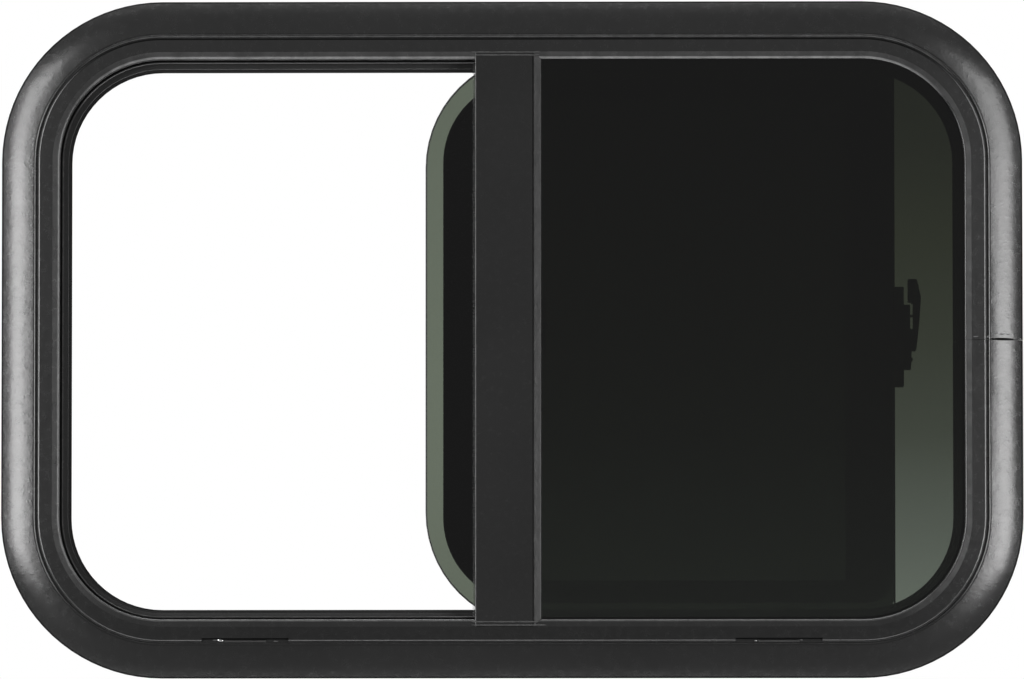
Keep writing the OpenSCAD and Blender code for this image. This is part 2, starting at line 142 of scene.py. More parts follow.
def inset_of(look):
    """How far a point lies in from the frame's outer edge, in metres, at any place round the frame."""
    split = look.add("SeparateXYZ", {0: look.place})
    z = split.node.outputs[2]
    past = [look.math("MAXIMUM", look.math("SUBTRACT", look.math("ABSOLUTE", v), half - CORNER), 0.0)
            for v, half in ((split, HALF_W), (z, HALF_H))]
    square = [look.math("MULTIPLY", v, v) for v in past]
    return look.math("SUBTRACT", CORNER, look.math("SQRT", look.math("ADD", *square)))


def between(look, value, low, high):
    return look.math("MULTIPLY", look.math("GREATER_THAN", value, low), look.math("LESS_THAN", value, high))


def powder_coat(name, base, rough=0.25, gloss=1.6, detail=None):
    """Satin black powder coat: wavy from the bending, with fine orange peel and cloudy gloss. The detail is a
    function that changes the colour, roughness, specular level and normal of one piece."""
    look = Look(name, IOR=gloss)
    cloud = look.noise(7, 3)
    wave = look.noise(75, 3, 0.55)
    patches = look.noise(170, 3, 0.6)
    dents = look.noise(300, 2, 0.6)
    peel = look.noise(520, 1)
    grain = look.noise(2600, 2, 0.6)
    normal = look.bump(wave, 0.00018)
    normal = look.bump(patches, 0.00003, under=normal)
    normal = look.bump(look.remap(dents, 0.58, 0.8, 0.0, 1.0), 0.00004, under=normal)
    normal = look.bump(peel, 0.000006, under=normal)
    sockets = {
        "Base_Color": look.shade(cloud, grey(base * 0.88), grey(base * 1.12)),
        "Roughness": look.math("ADD", look.remap(patches, 0.35, 0.65, rough - 0.02, rough + 0.02),
                               look.remap(grain, 0.3, 0.7, -0.02, 0.02)),
        "Specular_IOR_Level": 0.5,
        "Normal": look.bump(grain, 0.0000025, under=normal)}
    if detail:
        detail(look, sockets)
    look.set(**sockets)
    return look.material


def paint_band(look, sockets, band, value, specular=None):
    """Paints light and shade: gives the coat another grey and specular level where band is 1."""
    sockets["Base_Color"] = look.blend(band, sockets["Base_Color"], (*grey(value), 1))
    if specular is not None:
        under = sockets["Specular_IOR_Level"]
        sockets["Specular_IOR_Level"] = look.add("Mix", {0: band, 2: under, 3: specular})


def frame_profile(look, sockets):
    """Die lines along the profile, and painted light and shade in bands: painted shade on the outer rim,
    painted highlights on the groove's shoulders, the lip and rib tips and the chamfer, greys that differ on
    each side as the lamps fall, and painted shade in the inner corners and channels. Bands without a specular
    level of their own are painted unevenly."""
    inset = inset_of(look)
    x = look.add("SeparateXYZ", {0: look.place})
    z = x.node.outputs[2]
    inner, outer = LEVEL_FADE
    top = look.remap(z, HALF_H - inner, HALF_H - outer, 0.0, 1.0)
    bottom = look.remap(z, inner - HALF_H, outer - HALF_H, 0.0, 1.0)
    inner, outer = SIDE_FADE
    right = look.remap(x, HALF_W - inner, HALF_W - outer, 0.0, 1.0)
    left = look.remap(x, inner - HALF_W, outer - HALF_W, 0.0, 1.0)
    level = look.math("ADD", top, bottom)
    side = look.math("SUBTRACT", 1.0, level)
    slot = look.math("MULTIPLY", bottom, between(look, look.math("ABSOLUTE", x), *MILLED))
    unmilled = look.math("SUBTRACT", bottom, slot)
    across = look.math("MULTIPLY", inset, DIE_LINES_PER_METRE)
    lines = look.add("TexNoise", {"W": across, "Scale": 1.0, "Detail": 3.0}, noise_dimensions="1D")
    flat = look.remap(inset, 0.026, 0.029, 0.6, 1.0)
    sockets["Normal"] = look.add("Bump", {"Height": lines, "Distance": 0.00001, "Strength": flat,
                                          "Normal": sockets["Normal"]})
    # Noise that makes the painted highlights uneven
    uneven_highlight = look.remap(look.noise(110, 3), 0.35, 0.65, 0.6, 1.0)
    # Each band's insets, where round the frame it runs, its grey and its specular level: painted highlights
    # and painted shade, set on each side to follow the lamps
    for (start, end), where, value, specular in (
            (OUTER_SHOULDER, side, 0.028, None), (INNER_SHOULDER, side, 0.045, None),
            (GROOVE_FLOOR, top, 0.07, None), (TOP_SHOULDER, top, 0.003, 0.08),
            (BOTTOM_SHOULDER, unmilled, 0.035, None), (LOW_SHOULDER, bottom, 0.012, 0.12),
            (CHAMFER, top, 0.042, None), (CHAMFER, right, 0.045, None), (CHAMFER, left, 0.024, None),
            (LIP_TIP, left, 0.06, None), (LIP_TIP, right, 0.02, None),
            (LIP_TIP, bottom, 0.05, None), (LIP_TIP, top, 0.19, None),
            (RIB_TIP, side, 0.04, None), (RIB_TIP, level, 0.014, 0.3), (UNDER_LIP, 1.0, 0.002, 0.08),
            (LEG_TIP, 1.0, 0.002, 0.08), (SLOT_WALL, slot, 0.002, 0.05)):
        band = look.math("MULTIPLY", between(look, inset, start, end), where)
        if specular is None:
            band = look.math("MULTIPLY", band, uneven_highlight)
        paint_band(look, sockets, band, value, specular)
    # Painted shade on the outer rim: a darker grey and a low specular level
    paint_band(look, sockets, look.math("LESS_THAN", inset, RIM_WIDTH), RIM_SHADE_GREY, 0.12)


def bar_profile(look, sockets):
    """Painted light on the mullion: a painted highlight on its left arris, painted shade along the crease
    beside its chamfer, and painted shade that makes the chamfer darker and duller.
    """
    split = look.add("SeparateXYZ", {0: look.place})
    uneven_highlight = look.remap(look.noise(110, 3), 0.35, 0.65, 0.6, 1.0)
    arris = look.math("LESS_THAN", split, BAR_LIT_ARRIS)
    # Painted shade: the chamfer right of the crease a little darker and less glossy, the crease dark
    paint_band(look, sockets, look.math("GREATER_THAN", split, BAR_SHADED_CREASE[1]), 0.011, 0.3)
    paint_band(look, sockets, between(look, split, *BAR_SHADED_CREASE), 0.003, 0.1)
    # Painted highlight on the left arris
    paint_band(look, sockets, look.math("MULTIPLY", arris, uneven_highlight), 0.05)


def tinted_glass(name, tints, privacy=None, privacy_from=0.0):
    """Tinted glass with ground edges. The tints are its colours in transmission at evenly spaced heights,
    from the bottom up. Right of one place it can have a darker privacy tint."""
    look = Look(name, IOR=1.52, Roughness=0.0, Transmission_Weight=1.0, Specular_IOR_Level=0.42)
    split = look.add("SeparateXYZ", {0: look.place})
    ramp = look.nodes.new("ShaderNodeValToRGB")
    stops = ramp.color_ramp.elements
    for i, tint in enumerate(tints):
        place = i / (len(tints) - 1)
        stop = stops[0] if i == 0 else stops[-1] if i == len(tints) - 1 else stops.new(place)
        stop.position, stop.color = place, (*tint, 1)
    look.put(ramp, "Fac", look.remap(split.node.outputs[2], -GLASS_HALF, GLASS_HALF, 0.0, 1.0))
    haze = look.remap(look.noise(4, 2), 0.3, 0.7, 0.97, 1.03)
    tint = look.add("Mix", {0: 1.0, 6: ramp.outputs[0], 7: haze}, out=2, data_type="RGBA",
                    blend_type="MULTIPLY")
    if privacy:
        tint = look.blend(look.math("GREATER_THAN", split, privacy_from), tint, (*privacy, 1))
    surface = look.nodes.new("ShaderNodeNewGeometry").outputs["Normal"]
    facing = look.math("ABSOLUTE", look.add("SeparateXYZ", {0: surface}, out=1))
    ground = look.math("LESS_THAN", facing, GROUND_FACING)
    frost = look.remap(look.noise(900, 2), 0.3, 0.7, 0.35, 0.55)
    look.set(Base_Color=look.blend(ground, tint, GROUND_COLOUR),
             Roughness=look.math("MULTIPLY", ground, frost),
             Transmission_Weight=look.remap(ground, 0.0, 1.0, 1.0, 0.25))
    return look.material


def rubber(name, base=0.018, rough=0.75, gloss=0.5):
    look = Look(name, Specular_IOR_Level=gloss)
    grain = look.noise(1500, 3)
    cloud = look.noise(25, 2)
    look.set(Base_Color=look.shade(cloud, grey(base * 0.8), grey(base * 1.3)),
             Roughness=look.remap(grain, 0.3, 0.7, rough - 0.08, rough + 0.08),
             Normal=look.bump(grain, 0.00002))
    return look.material


def pile_cloth(name, base=0.012):
    """The backing and body of a brush seal: short dense fibres."""
    look = Look(name, Roughness=0.95, Sheen_Weight=0.15)
    tufts = look.noise(1800, 3)
    look.set(Base_Color=look.shade(tufts, grey(base * 0.5), grey(base * 1.8)),
             Normal=look.bump(tufts, 0.00015))
    return look.material


def moulded(name, base, rough=0.5):
    """Moulded nylon or plastic with a fine spark-eroded texture."""
    look = Look(name)
    spark = look.add("TexVoronoi", {"Vector": look.place, "Scale": 1900.0})
    cloud = look.noise(60, 2)
    look.set(Base_Color=look.shade(cloud, grey(base * 0.85), grey(base * 1.15)),
             Roughness=look.remap(cloud, 0.3, 0.7, rough - 0.06, rough + 0.06),
             Normal=look.bump(spark, 0.00001))
    return look.material


def bare_metal(name, base, rough=0.3, along=(1, 1, 1)):
    look = Look(name, Metallic=1.0)
    drawn = look.noise(400, 3, vector=look.stretched(*along))
    look.set(Base_Color=look.shade(drawn, grey(base * 0.8), grey(base)),
             Roughness=look.remap(drawn, 0.3, 0.7, rough - 0.08, rough + 0.1),
             Normal=look.bump(drawn, 0.000006))
    return look.material


def green_tint(v, blue):
    """A grey-green of glass: v is its green, blue its share of blue."""
    return (v * 0.845, v, v * blue)


# Half height of the panes, over which their tints are spread
GLASS_HALF = 0.211
# Green and share of blue of the fixed pane's tints from the bottom up; the pane is much lighter towards the
# bottom
FIXED_TINTS = [green_tint(*pair) for pair in ((0.14, 0.82), (0.093, 0.81), (0.051, 0.75), (0.0335, 0.69),
                                              (0.0235, 0.63), (0.0153, 0.67), (0.011, 0.68))]
SASH_TINTS = [green_tint(v, 0.76) for v in (0.125, 0.145, 0.15, 0.148, 0.138, 0.125)]
PRIVACY_TINT = green_tint(0.03, 0.76)
BARE_STRIP_END = -0.024
# Surfaces that face less along Y than this are the ground edges of the glass
GROUND_FACING, GROUND_COLOUR = 0.93, (0.028, 0.04, 0.033, 1)
# Insets, in metres, of the bands where the coat has painted highlights and painted shade
OUTER_SHOULDER, INNER_SHOULDER, LIP_TIP = (0.0239, 0.0254), (0.0266, 0.0281), (0.0409, 0.0426)
UNDER_LIP, RIB_TIP, LEG_TIP = (0.0426, 0.0441), (0.0442, 0.0452), (0.0497, 0.0506)
GROOVE_FLOOR, TOP_SHOULDER = (0.0251, 0.0267), (0.0267, 0.0287)
BOTTOM_SHOULDER, LOW_SHOULDER = (0.0261, 0.0277), (0.0234, 0.0255)
CHAMFER, SLOT_WALL = (0.0374, 0.0409), (0.0284, 0.0289)
# Width of the outer rim and the grey of the painted shade on it
RIM_WIDTH, RIM_SHADE_GREY = 0.0012, 0.006
# Insets between which the painted greys of the top and bottom, and of the left and right, fade into the
# corners
LEVEL_FADE, SIDE_FADE = (0.075, 0.035), (0.09, 0.05)
# Reach, along X either way, of the shoulders milled away at the drain slots
MILLED = (0.1622, 0.2257)
DIE_LINES_PER_METRE = 900.0
# Bands along X on the mullion where shade and a highlight are painted
BAR_SHADED_CREASE, BAR_LIT_ARRIS = (0.0151, 0.0163), -0.0259
COATS = {
    "frame": powder_coat("powder_coat", 0.0085, detail=frame_profile),
    # The mullion's coat is the frame's with a lighter grey and a lower IOR, so that its chamfer catches less
    # of the right lamp: a shaded copy of one coat
    "mullion": powder_coat("powder_coat_bar", 0.0115, 0.25, 1.45, bar_profile),
    "clamp_ring": powder_coat("powder_coat_ring", 0.010),
    "sash_frame": powder_coat("powder_coat_sash", 0.0085),
    "sash_stile": powder_coat("powder_coat_stile", 0.0085),
}
NYLON = moulded("black_nylon", 0.02)
LATCH = moulded("latch_plastic", 0.016, 0.45)
RUBBER = rubber("seal_rubber")
SEALANT = rubber("sealant", 0.026, 0.5)
LUMPS = moulded("coating_lumps", 0.09, 0.4)
PILE = pile_cloth("brush_pile")
FLAP = rubber("weep_flap", 0.02, 0.6)
# A near-black, barely glossy rubber that stands for shade in the seam and the drain slots
SHADE_FILL = rubber("slot_shade_fill", 0.004, 0.9, gloss=0.15)
MATERIALS = {
    **COATS,
    "fixed_glass": tinted_glass("fixed_tint", FIXED_TINTS),
    "sash_glass": tinted_glass("sash_tint", SASH_TINTS, PRIVACY_TINT, BARE_STRIP_END),
    "mullion_pile": PILE,
    "channel_pile": PILE,
    "latch_base": LATCH,
    "latch_lever": LATCH,
    "latch_keeper": LATCH,
    "latch_pin": bare_metal("turned_steel", 0.6),
    "seam_plate": bare_metal("mill_aluminium", 0.75, 0.35, (1, 1, 0.05)),
    "flange_seal": rubber("flange_foam", 0.025, 0.9),
    "weep_baffle_left": FLAP,
    "weep_baffle_right": FLAP,
}
for name in ("fixed_glass_seal_front", "fixed_glass_seal_rear", "setting_block_left", "setting_block_right"):
    MATERIALS[name] = RUBBER
for name in NODES:
    if name not in MATERIALS:
        MATERIALS[name] = NYLON
for name, node in NODES.items():
    node.data.materials.clear()
    node.data.materials.append(MATERIALS[name])


# Pieces of the scene's own
random.seed(7)
ROOM_SIDE = Vector((0, 1, 0))
MILLIMETRES = Matrix.Scale(MM, 4)


class Net:
    """Points and faces of a mesh that is being built, in millimetres."""

    def __init__(self):
        self.points, self.faces = [], []

    def tube(self, rings, closed=True, capped=True):
        """Joins rings of equally many points, each ring a list of points."""
        first, n = len(self.points), len(rings[0])
        for ring in rings:
            self.points += [tuple(q) for q in ring]
        for i in range(len(rings) - 1):
            for j in range(n if closed else n - 1):
                a, b = first + i * n + j, first + i * n + (j + 1) % n
                self.faces.append((a, b, b + n, a + n))
        if capped:
            last = len(self.points) - n
            self.faces += [tuple(range(first, first + n)), tuple(range(last, last + n))]

    def copy_of(self, other, matrix):
        first = len(self.points)
        self.points += [tuple(matrix @ Vector(q)) for q in other.points]
        self.faces += [tuple(first + i for i in face) for face in other.faces]

    def piece(self, name, material, body, slot, smooth_below=40):
        """Makes the object, with edges sharper than an angle in degrees kept crisp."""
        bm = bmesh.new()
        points = [bm.verts.new(q) for q in self.points]
        for face in self.faces:
            bm.faces.new([points[i] for i in face])
        bmesh.ops.recalc_face_normals(bm, faces=bm.faces)
        bm.transform(MILLIMETRES)
        mesh = bpy.data.meshes.new(name)
        bm.to_mesh(mesh)
        bm.free()
        mesh.materials.append(material)
        mesh.shade_smooth()
        mesh.set_sharp_from_angle(angle=math.radians(smooth_below))
        obj = bpy.data.objects.new(name, mesh)
        bpy.context.scene.collection.objects.link(obj)
        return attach(obj, body)


def circle(radius, z, steps):
    return [(radius * math.cos(t), radius * math.sin(t), z)
            for t in (2 * math.pi * i / steps for i in range(steps))]


def countersunk_screw(head, core, crest, length, pitch, steps=20):
    """A cross-recess countersunk screw along -z, its head's top at z = 0."""
    edge, arm, reach, depth = 0.12, 0.16 * head, 0.6 * head, 0.45 * head
    net = Net()
    cross = [(arm, reach), (arm, arm), (reach, arm), (reach, -arm), (arm, -arm), (arm, -reach),
             (-arm, -reach), (-arm, -arm), (-reach, -arm), (-reach, arm), (-arm, arm), (-arm, reach)]
    floor = [(0.6 * x, 0.6 * y, -depth) for x, y in cross]
    net.tube([[(x, y, 0) for x, y in cross], floor], capped=False)
    net.faces.append(tuple(range(len(cross), 2 * len(cross))))
    # The head's top between the recess and its edge
    bm = bmesh.new()
    for outline in (cross, [(x, y) for x, y, _ in circle(head - edge, 0, steps)]):
        ring = [bm.verts.new((x, y, 0)) for x, y in outline]
        for i, v in enumerate(ring):
            bm.edges.new((v, ring[(i + 1) % len(ring)]))
    bmesh.ops.triangle_fill(bm, edges=bm.edges[:], use_beauty=True)
    bm.verts.index_update()
    first = len(net.points)
    net.points += [tuple(v.co) for v in bm.verts]
    net.faces += [tuple(first + v.index for v in f.verts) for f in bm.faces]
    bm.free()
    neck = core - head - edge
    rings = [circle(head - edge, 0, steps), circle(head, -edge, steps), circle(core, neck, steps)]
    top, tip = neck - 0.5, -length
    turns = 6 * round((top - tip) / pitch)
    for i in range(turns + 1):
        z = top + (tip - top) * i / turns
        taper = min(1, (z - tip) / 2.5 + 0.12)
        ring = []
        for j in range(steps):
            phase = (-z / pitch + j / steps) % 1
            radius = taper * (core + (crest - core) * max(0, 1 - 4 * abs(phase - 0.5)))
            around = 2 * math.pi * j / steps
            ring.append((radius * math.cos(around), radius * math.sin(around), z))
        rings.append(ring)
    net.tube(rings, capped=False)
    net.faces.append(tuple(range(len(net.points) - steps, len(net.points))))
    return net


def pose(x, y, z, out, spin=0.0):
    """Places a piece that was drawn along z, in millimetres, with its z pointing along out."""
    return Matrix.Translation((x, y, z)) @ out.to_track_quat("Z", "X").to_matrix().to_4x4() @ Matrix.Rotation(
        spin, 4, "Z")


# Half sizes and corner radius of the frame, and the other sizes that pieces follow, in millimetres
W, H, R = HALF_W / MM, HALF_H / MM, CORNER / MM
PORT_INSET, SCREW_PITCH, TROUGH_DEPTH = 26.4, 140, 0.6
SEAM_LEVEL, GAPE_START, GAPE_LENGTH = -1.2, 348.6, 16.4
# The drain slots: middle, reach of the milling and of the hole along X, level, and depth of the milled floor
SLOT_MIDDLE, SLOT_REACH, HOLE_REACH, SLOT_Z, SLOT_FACE_Y = 194.0, 31.2, 15.5, -218.95, -9.05
SASH_CORNER, SASH_SQUARE_CORNER = 83, 6
BEAD_WIDTH, BEAD_HEIGHT, BEAD_WILD = 1.0, 0.3, 0.36


def clamp_screws():
    """The screws that hold the clamp ring to the frame's screw port, heads flush in the ring's trough."""
    screw = countersunk_screw(head=3.2, core=1.45, crest=1.9, length=16, pitch=1.4)
    net = Net()
    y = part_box("clamp_ring")[1].y / MM - TROUGH_DEPTH
    corner = (R - PORT_INSET) * math.sqrt(0.5)
    for s in (1, -1):
        places = [(i * SCREW_PITCH, s * (H - PORT_INSET)) for i in (-1.5, -0.5, 0.5, 1.5)]
        for i in (1, -1):
            places += [(s * (W - PORT_INSET), i * (H - R) / 2), (s * (W - R + corner), i * (H - R + corner))]
        for x, z in places:
            net.copy_of(screw, pose(x, y, z, ROOM_SIDE, random.uniform(0, math.pi)))
    net.piece("clamp_screws", bare_metal("zinc_plate", 0.62, 0.34), "window_frame", "pin_steel", 30)


clamp_screws()


def strand(net, root, bend, tip, width):
    """One fibre along a bent path, three-sided and thinner at its tip."""
    rings = []
    for t in (0, 0.35, 0.7, 1):
        at = (1 - t) ** 2 * root + 2 * t * (1 - t) * bend + t * t * tip
        r = width * (1 - 0.55 * t)
        rings.append([at + Vector((r, 0, 0)), at + Vector((-r / 2, 0, r)), at + Vector((-r / 2, 0, -r))])
    net.tube(rings)


def mullion_brush():
    """The brush seal's backing strip and its fibres, which fan out on the sash's glass."""
    low, high = (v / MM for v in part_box("mullion_pile"))
    foot_y = low.y + 3.2
    slot_x = high.x - 2.1 - 1.6
    net = Net()
    for x1, x2, y1, y2 in ((slot_x - 1.6 - 0.6, slot_x + 1.6 + 0.6, low.y, low.y + 1.4),
                           (slot_x - 1.4, slot_x + 1.4, low.y + 1.4, foot_y)):
        outline = [(x1 + 0.3, y1), (x2 - 0.3, y1), (x2, y1 + 0.3), (x2, y2), (x1, y2), (x1, y1 + 0.3)]
        net.tube([[(x, y, z) for x, y in outline] for z in (low.z, high.z)])
    backing = net.piece("mullion_brush_backing", NYLON, "window_frame", "brush_pile")
    net = Net()
    z = low.z + 0.3
    while z < high.z - 0.3:
        clump = smooth_noise((0, 0, z * 0.55)) + 0.5 * smooth_noise((9, 0, z * 2.1))
        for share in (0.0, 0.22, 0.45, 0.7, 1.0):
            spread = low.x + (high.x - 1.2 - low.x) * share
            reach = 0.75 * clump * (1 - share) + random.uniform(-0.25, 0.25)
            root = Vector((slot_x - 1.2 + 2.4 * share, foot_y - 0.4, z + random.uniform(-0.2, 0.2)))
            tip = Vector((spread + 0.35 - reach, high.y - 0.05 - random.uniform(0, 0.4),
                          z + random.uniform(-0.35, 0.35)))
            bend = Vector((root.x * 0.55 + tip.x * 0.45, root.y + (tip.y - root.y) * 0.75,
                           (root.z + tip.z) / 2))
            strand(net, root, bend, tip, random.uniform(0.14, 0.2))
        z += 0.42
    fibres = net.piece("mullion_brush_fibres", PILE, "window_frame", "brush_pile", 180)
    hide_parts("mullion_pile")
    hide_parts("mullion_pile")


mullion_brush()


def bead(net, path, width, height, rough, seed, sides=8):
    """An uneven bead of sealant along a path, wide across it and low along Y."""
    rings = []
    for i, at in enumerate(path):
        along = (path[min(i + 1, len(path) - 1)] - path[max(i - 1, 0)]).normalized()
        across = along.cross(Vector((0, 1, 0))).normalized()
        lump = smooth_noise((seed, 0, i * 0.21)) + 0.6 * smooth_noise((seed, 5, i * 0.6))
        sway = smooth_noise((seed, 9, i * 0.13)) * rough
        end = min(1.0, 0.25 + min(i, len(path) - 1 - i) / 4)
        w, h = width / 2 * (1 + rough * lump) * end, height * (1 + 1.4 * rough * lump) * end
        rings.append([at + across * (w * math.cos(t) + sway * 0.4) + Vector((0, h * math.sin(t), 0))
                      for t in (2 * math.pi * j / sides for j in range(sides))])
    net.tube(rings)


def mullion_beads():
    """Sealant over the joints between the mullion's ends and the frame's lip."""
    low, high = (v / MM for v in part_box("mullion"))
    start, steps = low.x - 2.6, 90
    net = Net()
    # Level, right end and random seed of each bead
    for z, end, seed in ((high.z - 0.4, high.x - 0.6, 3.1), (high.z - 2.5, high.x - 1.2, 6.3),
                         (low.z + 3.3, high.x - 2.0, 5.2), (low.z + 0.9, high.x + 3.2, 7.9)):
        path = [Vector((start + (end - start) * i / steps, low.y + 0.06, z)) for i in range(steps + 1)]
        bead(net, path, BEAD_WIDTH, BEAD_HEIGHT, BEAD_WILD, seed)
    net.piece("mullion_joint_sealant", SEALANT, "window_frame", "seal_rubber", 80)


mullion_beads()


def frame_front(x, z):
    """Where a line along Y first meets the frame, in millimetres."""
    node = NODES["frame"]
    found, place, *_ = node.ray_cast(Vector((x * MM, -1, z * MM)), Vector((0, 1, 0)))
    return place.y / MM if found else 0.0


def crumb(net, x, z, half_x, half_z, half_y, seed, sunk=0.4, rings=6, sides=9):
    """A lumpy burr or blob of coating that sits on the frame's outside."""
    y = frame_front(x, z) - half_y * (1 - 2 * sunk)
    first = []
    for i in range(1, rings):
        polar = math.pi * i / rings
        ring = []
        for j in range(sides):
            turn = 2 * math.pi * j / sides
            out = Vector((math.sin(polar) * math.cos(turn), math.cos(polar),
                          math.sin(polar) * math.sin(turn)))
            lump = 1 + 0.35 * smooth_noise(out * 1.3 + Vector((seed, 0, 0)))
            ring.append((x + out.x * half_x * lump, y + out.y * half_y * lump, z + out.z * half_z * lump))
        first.append(ring)
    net.tube(first)


# Places and half sizes, in millimetres: x, z, along x, along z, and for chips along y
CHIPS = ((-211.7, -219.5, 2.8, 1.2, 1.2), (177.2, -220.2, 1.2, 0.5, 0.6))
SLOT_LUMPS = ((-215.8, -219.5, 2.0, 0.5), (-171.6, -220.3, 1.8, 0.4), (210.3, -219.7, 1.0, 0.5))
SEAM_LUMPS = ((351.5, 3.2, 2.4, 0.5), (356.5, 2.9, 3.0, 0.55), (361.0, 2.7, 1.8, 0.4),
              (355.5, -1.7, 3.0, 0.45), (370.2, -0.6, 0.7, 0.8), (346.6, 1.0, 1.3, 0.8),
              (337.5, 0.9, 1.9, 0.3), (325.5, -17.0, 0.5, 0.4))
MULLION_LUMPS = ((-19.6, -205.8, 0.9, 0.8), (-21.5, -208.2, 0.9, 0.7), (18.0, -202.4, 0.8, 0.7),
                 (18.6, -204.0, 0.6, 0.6), (-14.2, 208.0, 0.8, 0.5), (-4.0, 207.6, 0.8, 0.5))


def burrs_and_lumps():
    """Burrs and chips that the photograph shows at the butt seam, the drain slots and the mullion's ends."""
    chips, lumps = Net(), Net()
    for i, (x, z, along_x, along_z, along_y) in enumerate(CHIPS):
        crumb(chips, x, z, along_x, along_z, along_y, i * 3.7)
    for i, (x, z, along_x, along_z) in enumerate(SLOT_LUMPS + SEAM_LUMPS + MULLION_LUMPS):
        crumb(lumps, x, z, along_x, along_z, 0.5, 20 + i * 2.9)
    chipped = bare_metal("chipped_aluminium", 0.85, 0.25)
    chips.piece("slot_burrs", chipped, "window_frame", "plate_aluminium", 70)
    lumps.piece("coating_lumps", LUMPS, "window_frame", "frame_black", 70)


burrs_and_lumps()


def painted_shade_fillings():
    """Painted shade: black strips, shaped as sealant in the gaping part of the butt seam and as foam in the
    two drain slots, that darken them.
    """
    net = Net()
    middle, top = SEAM_LEVEL + 0.55, 0.06
    rings = []
    for i in range(25):
        share = i / 24
        x = GAPE_START + GAPE_LENGTH * share
        ragged = 1 + 0.5 * smooth_noise((x * 0.6, 3, 0))
        half = 0.2 + 0.62 * math.sin(math.pi * share) ** 0.6 * ragged
        y = min(frame_front(x, middle + 1.3), frame_front(x, middle - 1.3)) - top
        rings.append([(x, y, middle + half), (x, y - 0.05, middle), (x, y, middle - half),
                      (x, y + 1.2, middle)])
    net.tube(rings)
    for side in (1, -1):
        rings = []
        for i in range(33):
            x = side * SLOT_MIDDLE + SLOT_REACH * (2 * i / 32 - 1)
            sway = 0.15 * smooth_noise((x * 0.2, 1, side))
            deep = 0.65 if abs(abs(x) - SLOT_MIDDLE) < HOLE_REACH else 0.1
            rings.append([(x, SLOT_FACE_Y - 0.7, SLOT_Z + 0.42), (x, SLOT_FACE_Y - 0.2, SLOT_Z + sway),
                          (x, SLOT_FACE_Y, SLOT_Z - deep + sway), (x, SLOT_FACE_Y + 1.5, SLOT_Z)])
        net.tube(rings)
    net.piece("seam_and_slot_shade_filling", SHADE_FILL, "window_frame", "seal_rubber", 60)


painted_shade_fillings()


def latch_spring():
    """The latch's return spring, whose coils glint through the fixed glass."""
    low, high = (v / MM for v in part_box("latch_base"))
    x, y, top, turns, coil, wire, sides = low.x + 4.8, low.y + 0.3, 2.0, 10, 1.5, 0.32, 8
    height, steps = 20, 22
    rings = []
    for i in range(turns * steps + 1):
        t = 2 * math.pi * i / steps
        out = Vector((math.cos(t), math.sin(t), 0))
        centre = Vector((x, y, top - height * i / (turns * steps))) + out * coil
        rings.append([centre + out * wire * math.cos(a) + Vector((0, 0, wire * math.sin(a)))
                      for a in (2 * math.pi * j / sides for j in range(sides))])
    net = Net()
    net.tube(rings)
    net.piece("latch_spring", MATERIALS["latch_pin"], "sliding_sash", "pin_steel", 80)


def latch_grip():
    """Ribs on the lever's room side where a thumb pushes it."""
    low, high = (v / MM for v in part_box("latch_lever"))
    net = Net()
    for i in range(7):
        z = high.z - 4 - 2.2 * i
        x1, x2 = low.x + 2.6, high.x - 1.2 - 0.12 * i
        rings = []
        for k in range(7):
            share = k / 6
            lift = 0.42 * math.sin(math.pi * share) ** 0.5
            rings.append([(x1 + (x2 - x1) * share, high.y - 0.2 + (lift + 0.2) * math.sin(math.pi * j / 6),
                           z + 0.55 * math.cos(math.pi * j / 6)) for j in range(7)])
        net.tube(rings)
    net.piece("latch_grip", LATCH, "sliding_sash", "latch_plastic", 60)


latch_spring()
latch_grip()


def rounded_loop(half_x, half_z, radius, centre_x=0.0, left_radius=None, steps=14):
    """Points of a rounded rectangle in the XZ plane with outward directions, anticlockwise from the right."""
    loop = []
    for sx, sz, start in ((1, 1, 0), (-1, 1, 90), (-1, -1, 180), (1, -1, 270)):
        r = radius if sx > 0 or left_radius is None else left_radius
        for i in range(steps + 1):
            t = math.radians(start + 90 * i / steps)
            out = Vector((math.cos(t), 0, math.sin(t)))
            loop.append((Vector((centre_x + sx * (half_x - r), 0, sz * (half_z - r))) + out * r, out))
    return loop


def bond_line():
    """The rounded edge of black adhesive round the opening of the bonded sash frame, on the glass."""
    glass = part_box("sash_glass")[1].y / MM
    low, high = (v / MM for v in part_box("sash_frame"))
    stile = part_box("sash_stile")[0].x / MM
    rail, left, left_radius = 15, 30, 40.5
    x1, x2, z2 = low.x + left, stile, high.z - rail
    loop = rounded_loop((x2 - x1) / 2, z2, 2, (x1 + x2) / 2, left_radius)
    rings = []
    for at, out in loop + loop[:1]:
        w = 1.1 + 0.3 * smooth_noise((at.x * 0.09, 2, at.z * 0.09))
        rings.append([at + out * a + Vector((0, glass + b, 0))
                      for a, b in ((0.6, -0.01), (-w, -0.01), (-w * 0.75, 0.35), (-w * 0.3, 0.9),
                                   (0.6, 1.3))])
    net = Net()
    net.tube(rings, capped=False)
    net.piece("sash_bond_line", SEALANT, "sliding_sash", "seal_rubber", 60)


def glass_edge():
    """The dark ground arris round the sliding pane."""
    low, high = (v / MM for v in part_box("sash_glass"))
    centre = (low.x + high.x) / 2
    loop = rounded_loop((high.x - low.x) / 2, high.z, SASH_SQUARE_CORNER, centre, SASH_CORNER)
    net = Net()
    for face, out_y in ((low.y, -1), (high.y, 1)):
        rings = [[at + out * a + Vector((0, face + out_y * b, 0)) for a, b in
                  ((-0.8, 0.02), (-0.3, 0.04), (0.3, -0.2), (0.3, -1.6), (-0.5, -0.8))]
                 for at, out in loop + loop[:1]]
        net.tube(rings, capped=False)
    net.piece("sash_glass_arris", rubber("ground_glass", 0.01, 0.6), "sliding_sash", "sash_glass", 60)


bond_line()
glass_edge()

